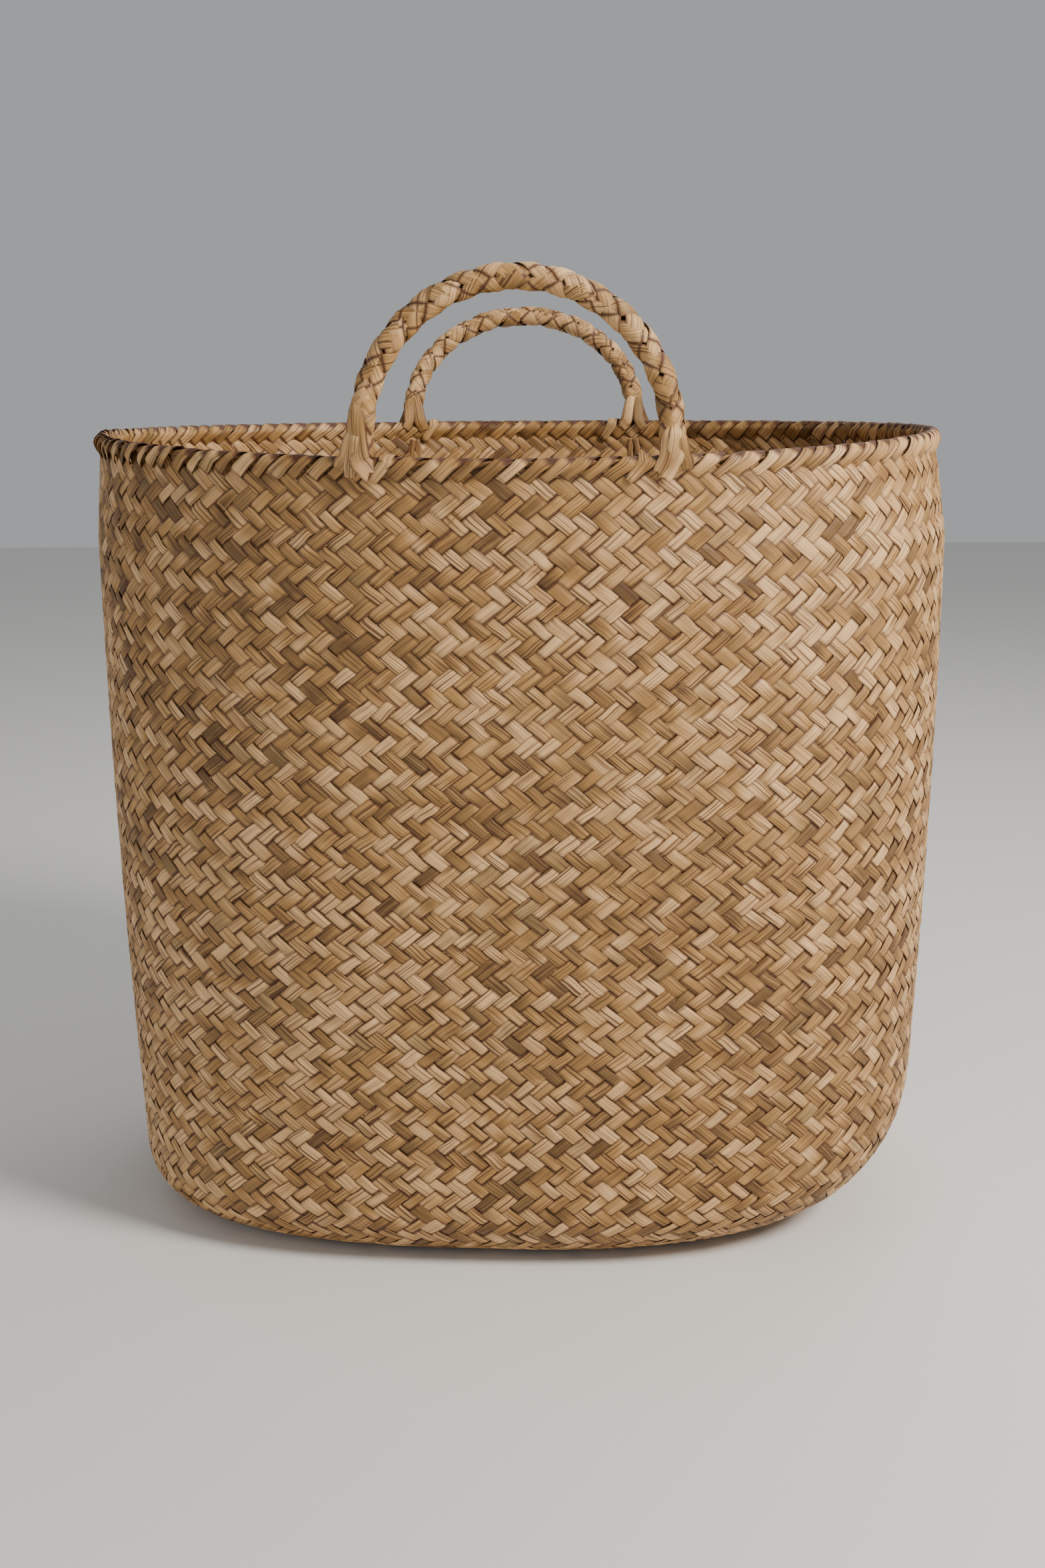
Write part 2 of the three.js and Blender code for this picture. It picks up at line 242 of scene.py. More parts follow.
def base_point(x, y, depth):
    """A point of the base, where x and y are counted in strips from its middle."""
    ring = np.minimum(WIDE / 2 - np.abs(x), DEEP / 2 - np.abs(y))
    long_side = DEEP / 2 - np.abs(y) <= WIDE / 2 - np.abs(x)
    nearly_nothing = 1e-6
    across = x * (WIDE / 2) / np.maximum(WIDE / 2 - ring, nearly_nothing)
    up = y * (DEEP / 2) / np.maximum(DEEP / 2 - ring, nearly_nothing)
    front = np.where(y < 0, WIDE / 2 + across, 1.5 * WIDE + DEEP - across)
    end = np.where(x > 0, WIDE + DEEP / 2 + up, 2 * WIDE + 1.5 * DEEP - up)
    angle = angle_of(np.where(long_side, front, end))
    radius = turn_radius(angle)
    inset = radius * (1 - math.cos(BORDER_BEND * math.pi / 2)) + ring * BASE_PITCH
    swing = np.arccos(np.clip((radius - inset) / radius, 0, 1))
    on_turn = turn_point(angle, swing / (np.pi / 2), depth)
    on_floor = section_point(angle, 0 * inset, inset)
    on_floor[..., 2] = depth
    oval = np.where((inset < radius)[..., None], on_turn, on_floor)
    middle = np.stack([BASE_MIDDLE + x * BASE_SPAN[0], y * BASE_SPAN[1], oval[..., 2]], -1)
    return mix(oval, middle, smooth(ring / (DEEP / 2))[..., None])


class Strip:
    """One strip of the plait.

    On the base, a strip of family "p" runs along y = x + lane and one of "q" along y = lane - x.
    """

    def __init__(self, family, lane, random):
        self.family, self.lane = family, lane
        self.sign = 1 if family == "p" else -1
        half_wide, half_deep = WIDE / 2, DEEP / 2
        self.low = max(-half_wide, -self.sign * lane - half_deep)
        self.high = min(half_wide, -self.sign * lane + half_deep)
        near, far = ("front", "back") if family == "p" else ("back", "front")
        self.low_side = "left" if self.low <= -half_wide else near
        self.high_side = "right" if self.high >= half_wide else far
        self.random = random
        wide = int(round(lane - 0.5)) % 2 == 0
        share = WIDE_SHARE if wide else -WIDE_SHARE
        self.half = STRIP_HALF + share + random.uniform(*HALF_SPREAD)
        self.shift = random.uniform(0, TEXTURE_SHIFT)
        self.darkness = random.beta(2, 3) * (WIDE_TONE if wide else 1)
        # The strips of family "q" get a painted shade, for the way the light falls on their slant.
        if family == "q":
            self.darkness += SLOPING_PAINTED_SHADE

    def climbs_forward(self, side):
        """True where the strip's place round the basket grows as it goes up."""
        return (side in ("left", "right")) == (self.family == "p")

    def reach(self, side):
        """How far the strip goes past the border of the base."""
        if self.climbs_forward(side):
            return WALL_TOP + OVER_ROLL + TUCK + self.random.uniform(-TUCK_SPREAD, TUCK_SPREAD)
        return WALL_TOP - STOP_SHORT

    def on_outside(self, x, low):
        """1 where the strip is on the outside at a crossing, -1 where inside, 0 on the roll."""
        y = self.sign * x + self.lane
        ring = min(WIDE / 2 - abs(x), DEEP / 2 - abs(y))
        if ring >= 0:
            rise = -2 * ring
            side = "front" if DEEP / 2 - abs(y) <= WIDE / 2 - abs(x) else "left"
        else:
            side = self.low_side if low else self.high_side
            rise = 2 * ((self.low - x) if low else (x - self.high))
        forward = self.climbs_forward(side)
        if rise > 2 * (WALL_TOP + OVER_ROLL):
            rise = 2 * (2 * WALL_TOP + OVER_ROLL) - rise
            forward = not forward
        elif rise > 2 * WALL_TOP:
            return 0
        outer_rows = round(rise) % 4 in (0, 1)
        return 1 if outer_rows == forward else -1

    @staticmethod
    def unfold(side, x, y):
        """Place and rise on one side of the wall for points x, y of the unfolded plait."""
        if side == "front":
            return x + WIDE / 2, -(y + DEEP / 2)
        if side == "right":
            return WIDE + y + DEEP / 2, x - WIDE / 2
        if side == "back":
            return WIDE + DEEP + WIDE / 2 - x, y - DEEP / 2
        return 2 * WIDE + 1.5 * DEEP - y, -x - WIDE / 2

    def point(self, x, y, depth, low):
        """The strip's place in space for points x, y of the unfolded plait."""
        side = self.low_side if low else self.high_side
        place, rise = self.unfold(side, x, y)
        settled = depth + self.lift(rise, self.climbs_forward(side))
        return np.where(
            (rise > 0)[..., None],
            wall_point(place, np.maximum(rise, 0), settled),
            base_point(np.clip(x, -WIDE / 2, WIDE / 2), np.clip(y, -DEEP / 2, DEEP / 2), depth),
        )

    @staticmethod
    def lift(rise, forward):
        """How far the strip's middle line leaves the middle of the plait near the rim."""
        if not forward:
            return 0 * rise
        past = rise - WALL_TOP - OVER_ROLL
        outside = -ROLL_LIFT * smooth((rise - WALL_TOP - RISE_FROM) / RISE_LENGTH)
        inside = mix(ROLL_LIFT, HEM_LIFT, smooth(past / HEM_LENGTH))
        return np.where(past > 0, inside, outside)

    def looseness(self, side, x):
        """1 where the strip's end lies in the loosest part of the rim, falling to 0 far from it."""
        place, _ = self.unfold(side, x, self.sign * x + self.lane)
        away = np.mod(angle_of(place) - LOOSE_ANGLE + np.pi, 2 * np.pi) - np.pi
        return float(np.exp(-((away / LOOSE_SPREAD) ** 2)))

    def uneven(self, spots, steps, spread):
        """A value that wanders from one spot to the next."""
        return np.interp(steps, spots, self.random.normal(0, spread, len(spots)))

    def build(self):
        """The strip's sections, with the leaf's coordinates and its tone."""
        start = self.low - self.reach(self.low_side)
        end = self.high + self.reach(self.high_side)
        first, last = math.ceil(2 * start), math.floor(2 * end)
        middle = (self.low + self.high) / 2
        flags = {i: self.on_outside(i / 2, i / 2 < middle) for i in range(first - 2, last + 3)}
        steps = np.arange(2 * start * SAMPLES, 2 * end * SAMPLES + 1) / SAMPLES
        cells = np.floor(steps).astype(int)
        now = np.array([flags[i] for i in cells], float)
        following = np.array([flags[i + 1] for i in cells], float)
        over = mix(now, following, smooth((steps - cells - 0.5) / CROSSING_SHARE + 0.5))
        count = len(steps)

        spots = np.arange(first - 4, last + 6)  # a little past both ends
        offset = self.uneven(spots, steps, WOBBLE)
        half = self.half * (1 + self.uneven(spots, steps, WIDTH_SPREAD))
        tip = self.uneven(spots, steps, TIP_SPREAD)
        level = self.uneven(spots, steps, LEVEL_SPREAD)
        for side, climb, stop, sections in (
            (self.low_side, self.low - steps / 2, start, np.arange(count)),
            (self.high_side, steps / 2 - self.high, end, np.arange(count)[::-1]),
        ):
            forward = self.climbs_forward(side)
            loose, lean = self.looseness(side, stop), self.random.normal(0, 1)
            if forward:
                half = half * mix(END_WIDTH, 1, smooth(sections / (END_LENGTH * SAMPLES)))
            near = smooth((climb - WALL_TOP - RIM_FROM) / RIM_FADE_IN) * forward
            near = near * (1 - smooth((climb - WALL_TOP - RIM_TO) / RIM_FADE_OUT))
            half = half * (1 - near * (RIM_NARROW + LOOSE_NARROW * loose))
            offset = offset + near * lean * (RIM_LEAN + LOOSE_LEAN * loose)
            lower = 1 if side in ("front", "right") else -1
            tip = tip + near * lower * (RIM_LIFT + LOOSE_LIFT * loose)

        crown = CROWN * np.where(over == 0, 1, np.sign(over)) * np.minimum(1, np.abs(over) + LEAST_CROWN)
        across = ACROSS * half[:, None] + offset[:, None]
        x = steps[:, None] / 2 - self.sign * across / 2
        y = self.sign * steps[:, None] / 2 + self.lane + across / 2
        depth = PLAIT / 2 - OVER * over[:, None] - crown[:, None] * (CROWN_LEVEL - ACROSS**2)
        depth = depth - FACES * LEAF / 2 * thinning(ACROSS)
        depth = depth - (tip[:, None] * ACROSS + level[:, None])
        on_low = (steps[:, None] / 2 < middle)[..., None]
        points = np.where(on_low, self.point(x, y, depth, True), self.point(x, y, depth, False))

        gone = lengths(points[:, len(SECTION) // 2])
        leaf = triples(gone[:, None], ACROSS * LEAF_PITCH * self.half, self.shift)
        floats = self.uneven(spots[::2], steps, FLOAT_TONE)
        # The tone's second and third values tell the material where a strip dips and where its edges
        # lie, which it darkens with painted shade.
        tone = triples((self.darkness + floats)[:, None], np.abs(over)[:, None], np.abs(ACROSS))
        return points, leaf, tone


# ---- Meshes ----

ROWS = 4  # rows that each strip fills in its texture map
ROW_START, ROW_SHARE = 0.06, 0.88  # where the faces start in a row, and the share that they fill
CAP_AT, CAP_WIDTH, CAP_HEIGHT = 0.995, 0.004, 0.5  # the room for the face that closes an end


def face_corners(section, corner, count, size, number, rows):
    """Where the faces of one strip lie in the texture map, which holds it in ROWS rows."""
    length = math.ceil((count - 1) / ROWS)
    row = section // length
    left, right = (section - row * length) / length, (section - row * length + 1) / length
    start = number * ROWS + row + ROW_START
    low = (start + ROW_SHARE * corner / size) / rows
    high = (start + ROW_SHARE * (corner + 1) / size) / rows
    return np.stack([left, low, right, low, right, high, left, high], -1).reshape(-1, 4, 2)


def cap_corners(end, ring, size, number, rows):
    """Where the face that closes the start (end 0) or the end (1) of a strip lies in the map."""
    across = CAP_AT * end + CAP_WIDTH * (ring > EDGES[1])
    start = number * ROWS + (ROWS - 1) * end + ROW_START
    return np.stack([across, (start + CAP_HEIGHT * ring / size) / rows], -1)


def face_mesh(name, points, quads, caps):
    """A mesh of faces with four corners, and of caps that close the strips' ends."""
    mesh = bpy.data.meshes.new(name)
    mesh.vertices.add(len(points))
    mesh.vertices.foreach_set("co", points.astype(np.float32).ravel())
    loops = np.concatenate([quads.ravel(), caps.ravel()])
    cap_starts = quads.size + np.arange(len(caps)) * caps.shape[1]
    starts = np.concatenate([np.arange(len(quads)) * 4, cap_starts])
    mesh.loops.add(len(loops))
    mesh.loops.foreach_set("vertex_index", loops.astype(np.int32))
    mesh.polygons.add(len(starts))
    mesh.polygons.foreach_set("loop_start", starts.astype(np.int32))
    mesh.update(calc_edges=True)
    mesh.polygons.foreach_set("use_smooth", np.ones(len(starts), bool))
    return mesh


def mark_edges(mesh, size):
    """Makes the two long edges of every strip sharp."""
    ends = np.empty(len(mesh.edges) * 2, np.int32)
    mesh.edges.foreach_get("vertices", ends)
    places = ends.reshape(-1, 2) % size
    lengthwise = places[:, 0] == places[:, 1]
    mesh.edges.foreach_set("use_edge_sharp", lengthwise & np.isin(places[:, 0], EDGES))


def ribbon_mesh(name, parts):
    """One object of closed ribbons. Each part holds sections of eight points, leaf and tone."""
    faces, maps, caps, cap_maps = [], [], [], []
    size = len(ACROSS)
    rows = len(parts) * ROWS
    first = 0
    for number, (sections, _, _) in enumerate(parts):
        count = len(sections)
        section, corner = np.meshgrid(np.arange(count - 1), np.arange(size), indexing="ij")
        here, beside = first + section * size, (corner + 1) % size
        there = here + size
        quads = np.stack([here + corner, there + corner, there + beside, here + beside], -1)
        faces.append(quads.reshape(-1, 4))
        maps.append(face_corners(section, corner, count, size, number, rows))
        for end, base in ((0, first), (1, first + (count - 1) * size)):
            ring = np.arange(size)[::-1] if end else np.arange(size)
            caps.append(base + ring)
            cap_maps.append(cap_corners(end, ring, size, number, rows))
        first += count * size
    points, leaves, tones = (
        np.concatenate([part[kind].reshape(-1, 3) for part in parts]) for kind in range(3)
    )
    mesh = face_mesh(name, points, np.concatenate(faces), np.stack(caps))
    for label, values in (("leaf", leaves), ("tone", tones)):
        attribute = mesh.attributes.new(label, "FLOAT_VECTOR", "POINT")
        attribute.data.foreach_set("vector", values.astype(np.float32).ravel())
    layer = mesh.uv_layers.new(name="OFBake")
    corners = np.concatenate([np.concatenate(maps).reshape(-1, 2), np.concatenate(cap_maps)])
    layer.data.foreach_set("uv", corners.astype(np.float32).ravel())
    mark_edges(mesh, size)
    mesh.validate()
    piece = bpy.data.objects.new(name, mesh)
    bpy.context.scene.collection.objects.link(piece)
    return piece


# ---- Ribbons and cords along a line ----

RIBBON_SAMPLES = 28  # sections of a ribbon
RIBBON_CROWNS = (0.3 * MM, 0.3 * MM)  # how much its middle stands above its edges, along it
RIBBON_LEVEL = 0.4  # share of the crown that lies above its own level
WAVE_POINTS, WAVE_SPREAD = 9, 0.06  # unevenness of a ribbon's edges
NOTCH_SECTIONS = 4  # sections over which a notch opens
RIBBON_TONES, CORD_TONES = (0.1, 0.7), (0.3, 0.8)  # ranges of their tones
CORD_EDGE = 0.3  # a cord's surface counts as lying well inside a leaf's brown edges and their painted shade
CORD_ASIDE = np.array([0.31, 0.17, 0.93])  # a direction along which no cord runs


def smooth_line(points, count):
    """A Catmull-Rom curve through the points, as evenly numbered samples."""
    points = np.array(points, float)
    padded = np.concatenate([2 * points[:1] - points[1:2], points, 2 * points[-1:] - points[-2:-1]])
    where = np.linspace(0, len(points) - 1, count)
    cell = np.minimum(where.astype(int), len(points) - 2)
    t = (where - cell)[:, None]
    a, b, c, d = (padded[cell + k] for k in range(4))
    bend = (2 * a - 5 * b + 4 * c - d) * t**2 + (3 * b - a - 3 * c + d) * t**3
    return 0.5 * (2 * b + (c - a) * t + bend)


def smooth_values(values, count):
    """The same curve through single values."""
    return smooth_line([[value, 0, 0] for value in values], count)[:, 0]


def ribbon(
    points,
    normals,
    half_widths,
    random,
    crowns=RIBBON_CROWNS,
    notch=0.0,
    thick=LEAF,
    samples=RIBBON_SAMPLES,
):
    """A leaf strip along a line, lying square to the normals. A notch splits its far end."""
    centre, up = smooth_line(points, samples), smooth_line(normals, samples)
    crown, half = smooth_values(crowns, samples), smooth_values(half_widths, samples)
    along = unit(np.gradient(centre, axis=0))
    up = unit(up - along * np.sum(along * up, -1, keepdims=True))
    side = np.cross(along, up)
    wave = random.normal(0, WAVE_SPREAD, WAVE_POINTS)
    wave = np.interp(np.arange(samples), np.linspace(0, samples, WAVE_POINTS), wave)
    height = crown[:, None] * (RIBBON_LEVEL - ACROSS**2) + FACES * thick / 2 * thinning(ACROSS)
    offset = ACROSS * half[:, None] * (1 + wave[:, None] * np.abs(ACROSS))
    sections = centre[:, None] + side[:, None] * offset[..., None] + up[:, None] * height[..., None]
    share = smooth((np.arange(samples) - samples + 1 + NOTCH_SECTIONS) / NOTCH_SECTIONS)
    sections -= along[:, None] * (notch * share[:, None] * (1 - np.abs(ACROSS)))[..., None]
    leaf = triples(lengths(centre)[:, None], offset, random.uniform(0, TEXTURE_SHIFT))
    tone = triples(random.uniform(*RIBBON_TONES), 1.0, np.abs(ACROSS) + 0 * offset)
    return sections, leaf, tone


def twisted(line, strands, radius, strand_radius, pitch, random):
    """Strands twisted into a cord along a line, each one a closed tube with eight sides."""
    along = unit(np.gradient(line, axis=0))
    side = unit(np.cross(along, CORD_ASIDE))
    up = np.cross(side, along)
    gone = lengths(line)
    ring = np.arange(len(ACROSS)) * 2 * np.pi / len(ACROSS)
    askew = 0.01  # keeps the strand's own direction from lying along up
    parts = []
    for strand in range(strands):
        turn = 2 * np.pi * (gone / pitch + strand / strands)
        centre = line + radius * (np.cos(turn)[:, None] * side + np.sin(turn)[:, None] * up)
        own = unit(np.gradient(centre, axis=0))
        across = unit(np.cross(own, up + askew))
        over = np.cross(across, own)
        around = np.cos(ring)[:, None] * across[:, None] + np.sin(ring)[:, None] * over[:, None]
        sections = centre[:, None] + strand_radius * around
        leaf = triples(gone[:, None], strand_radius * ring, random.uniform(0, TEXTURE_SHIFT))
        tone = triples(random.uniform(*CORD_TONES), 1.0, CORD_EDGE + 0 * leaf[..., 0])
        parts.append((sections, leaf, tone))
    return parts


# ---- Materials ----


def linear(red, green, blue):
    """A colour given as on a screen, in the shader's own scale."""
    channels = [(v / 255) for v in (red, green, blue)]
    return [v / 12.92 if v <= 0.04045 else ((v + 0.055) / 1.055) ** 2.4 for v in channels] + [1]


LIGHT, MIDDLE = linear(232, 186, 130), linear(180, 134, 76)
CORD_LIGHT, CORD_MIDDLE = linear(190, 148, 94), linear(156, 112, 64)
DARK = linear(94, 66, 32)
GREY = linear(130, 106, 62)
RED = linear(74, 38, 16)

# The leaf's patterns: how often they change in a metre along the leaf and across it, where they
# start, how many finer layers they have and how strong those are.
PATTERNS = {
    "patch": (38, 60, 0, 2, 0.5),
    "streak": (16, 1650, 3, 3, 0.65),
    "fibre": (60, 4200, 7, 2, 0.6),
    "crack": (22, 1150, 13, 1, 0.4),
    "olive": (24, 20, 29, 1, 0.5),
    "blush": (30, 380, 41, 2, 0.5),
}


class Nodes:
    """Short ways to build one material's node tree."""

    def __init__(self, name):
        self.material = bpy.data.materials.new(name)
        self.material.use_nodes = True
        self.tree = self.material.node_tree
        self.shader = self.tree.nodes["Principled BSDF"]

    def link(self, source, target):
        self.tree.links.new(source, target)

    def new(self, kind, **values):
        node = self.tree.nodes.new(kind)
        for key, value in values.items():
            setattr(node, key, value)
        return node

    def fill(self, socket, value):
        """Gives a socket a plain value, or links it to another node's output."""
        if isinstance(value, (int, float, list)):
            socket.default_value = value
        else:
            self.link(value, socket)

    def attribute(self, name):
        return self.new("ShaderNodeAttribute", attribute_name=name).outputs["Vector"]

    def pattern(self, vector, along, across, start, detail, roughness):
        """Noise that is stretched along the leaf."""
        place = self.new("ShaderNodeMapping")
        self.link(vector, place.inputs["Vector"])
        place.inputs["Scale"].default_value = (along, across, 1)
        place.inputs["Location"].default_value = (start, 0, 0)
        noise = self.new("ShaderNodeTexNoise")
        self.link(place.outputs["Vector"], noise.inputs["Vector"])
        noise.inputs["Scale"].default_value = 1
        noise.inputs["Detail"].default_value = detail
        noise.inputs["Roughness"].default_value = roughness
        return noise.outputs["Fac"]

    def ramp(self, value, low, high, out_low=0.0, out_high=1.0):
        node = self.new("ShaderNodeMapRange", clamp=True)
        self.link(value, node.inputs["Value"])
        limits = {"From Min": low, "From Max": high, "To Min": out_low, "To Max": out_high}
        for key, number in limits.items():
            node.inputs[key].default_value = number
        return node.outputs["Result"]

    def math(self, operation, a, b):
        node = self.new("ShaderNodeMath", operation=operation)
        for socket, value in zip(node.inputs, (a, b)):
            self.fill(socket, value)
        return node.outputs[0]

    def blend(self, factor, a, b):
        node = self.new("ShaderNodeMix", data_type="RGBA")
        for socket, value in ((node.inputs[0], factor), (node.inputs[6], a), (node.inputs[7], b)):
            self.fill(socket, value)
        return node.outputs[2]

    def parts(self, vector):
        node = self.new("ShaderNodeSeparateXYZ")
        self.link(vector, node.inputs[0])
        return node.outputs

    def bump(self, height, strength, distance):
        node = self.new("ShaderNodeBump")
        node.inputs["Strength"].default_value = strength
        node.inputs["Distance"].default_value = distance
        self.link(height, node.inputs["Height"])
        self.link(node.outputs["Normal"], self.shader.inputs["Normal"])


def leaf_material(name, light, middle):
    """Dry split leaf: fibres along its length, tone patches, brown edges deepened with painted shade,
    painted shade in the dips, and odd olive stretches.
    """
    nodes = Nodes(name)
    leaf = nodes.attribute("leaf")
    darkness, over, edge = nodes.parts(nodes.attribute("tone"))
    patch, streak, fibre, crack, olive, blush = [
        nodes.pattern(leaf, *values) for values in PATTERNS.values()
    ]

    # The strip's darkness holds the painted shade of family "q" as well as its own tone.
    shade = nodes.math("ADD", nodes.ramp(patch, 0.3, 0.7, -0.25, 0.3), darkness)
    colour = nodes.blend(nodes.ramp(shade, 0.0, 0.5), light, middle)
    # Each layer starts at the first value of its pattern and is strongest from the second on.
    for pattern, start, full, strength, tint in (
        (shade, 0.45, 1.05, 0.9, DARK),
        (olive, 0.58, 0.7, 0.65, GREY),
        (streak, 0.49, 0.66, 0.75, DARK),
        (streak, 0.46, 0.28, 0.35, light),
        (fibre, 0.5, 0.8, 0.4, DARK),
        (crack, 0.58, 0.68, 0.8, RED),
    ):
        colour = nodes.blend(nodes.ramp(pattern, start, full, 0, strength), colour, tint)
    # The edges are brown, more in some places than in others, and further darkened as painted shade in
    # the gaps between strips; the dips get painted shade too.
    border = nodes.math("MULTIPLY", nodes.ramp(edge, 0.76, 0.98), nodes.ramp(blush, 0.3, 0.6, 0.45, 1))
    colour = nodes.blend(nodes.math("MULTIPLY", border, 0.92), colour, RED)
    # Painted shade: darker where a strip dips under the strips that it crosses.
    colour = nodes.blend(nodes.ramp(over, 0.68, 0.08, 0, 0.95), colour, RED)
    nodes.link(colour, nodes.shader.inputs["Base Color"])

    fine, broad = nodes.ramp(fibre, 0.3, 0.7, 0.46, 0.62), nodes.ramp(patch, 0.3, 0.7, -0.05, 0.08)
    nodes.link(nodes.math("ADD", fine, broad), nodes.shader.inputs["Roughness"])
    nodes.shader.inputs["Specular IOR Level"].default_value = 0.38
    fine, broad = nodes.math("MULTIPLY", fibre, 0.55), nodes.math("MULTIPLY", streak, 0.9)
    nodes.bump(nodes.math("ADD", fine, broad), 0.8, 0.3 * MM)
    return nodes.material


plait_leaf = leaf_material("plait_leaf", LIGHT, MIDDLE)
handle_leaf = leaf_material("handle_leaf", LIGHT, MIDDLE)
cord_fibre = leaf_material("cord_fibre", CORD_LIGHT, CORD_MIDDLE)

# ---- The plait's pieces ----

random = np.random.RandomState(17)
lanes = np.arange(-(WIDE + DEEP) / 2 + 0.5, (WIDE + DEEP) / 2)
first_piece = None
for family in ("p", "q"):
    strips = [Strip(family, lane, random) for lane in lanes]
    for start in range(0, len(strips), BUNDLE):
        built = [strip.build() for strip in strips[start : start + BUNDLE]]
        piece = ribbon_mesh(f"strips_{family}_{start // BUNDLE + 1:02d}", built)
        piece.data.materials.append(plait_leaf)
        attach(piece, "basket")
        first_piece = first_piece or piece
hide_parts("base_panel", "base_turn", "wall", "rim_fold", "inner_hem")


def place_piece(name, parts, material, slot, body, *nodes):
    """Puts ribbons into the scene as one object, which rides on a body, or, when given a span between
    two bodies, stays where it is.
    """
    piece = ribbon_mesh(name, parts)
    piece.data.materials.append(material)
    if isinstance(body, str):
        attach(piece, body)
    else:
        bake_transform(piece)
    if nodes:
        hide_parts(*nodes)


# ---- The cord in the rim ----

RIM_CORD = dict(strands=2, radius=0.85 * MM, strand_radius=0.95 * MM, pitch=11 * MM)
CORD_POINTS = 720  # on the line of the rim's cord

ring_angles = np.linspace(0, 2 * np.pi, CORD_POINTS, endpoint=False)
cord_line = section_point(ring_angles, rim_top(ring_angles) - ROLL_RADIUS, PLAIT / 2)
cord_parts = twisted(cord_line, random=random, **RIM_CORD)
place_piece("rim_cord_strands", cord_parts, cord_fibre, "cord", "basket", "rim_cord")

# ---- The handles ----

SLEEVE_END = 5 * MM  # how far the sleeve's strips reach past the hinge
SLEEVE_RADIUS = 4.95 * MM  # middle of the sleeve's strips
SLEEVE_PITCH = 29 * MM  # one turn of a strip round the handle
SLEEVE_HALF = 4.75 * MM  # half the width of a strip
SLEEVE_OVER = 0.62 * MM  # how far a strip rises over the ones that it crosses
SLEEVE_STEEP, SLEEVE_ROUND = 1.7, 0.8  # how quickly it rises, and how roundly
SLEEVE_CROWN = 0.75 * MM  # how much its middle stands above its edges
SLEEVE_CROSSINGS = 4  # crossings in one turn
SLEEVE_SAMPLES = 10  # sections between two crossings
SLEEVE_LIFTS = (-0.2, 0.8)  # how far one edge stands off, in millimetres
SLEEVE_WIDTHS, SLEEVE_DRIFT = 0.07, 0.4 * MM  # unevenness of a strip's width and of its way
SLEEVE_SHADES = (0, 0.6)  # range of its tone from one crossing to the next

HANDLE_CORD = dict(strands=3, radius=1.75 * MM, strand_radius=1.7 * MM, pitch=24 * MM)
HANDLE_POINTS = 160  # on the line of a handle's cord
HANDLE_LENGTH = 2 * HANDLE_LEG + math.pi * HANDLE_SPACING / 2
RIGHT = np.array([1, 0, 0])


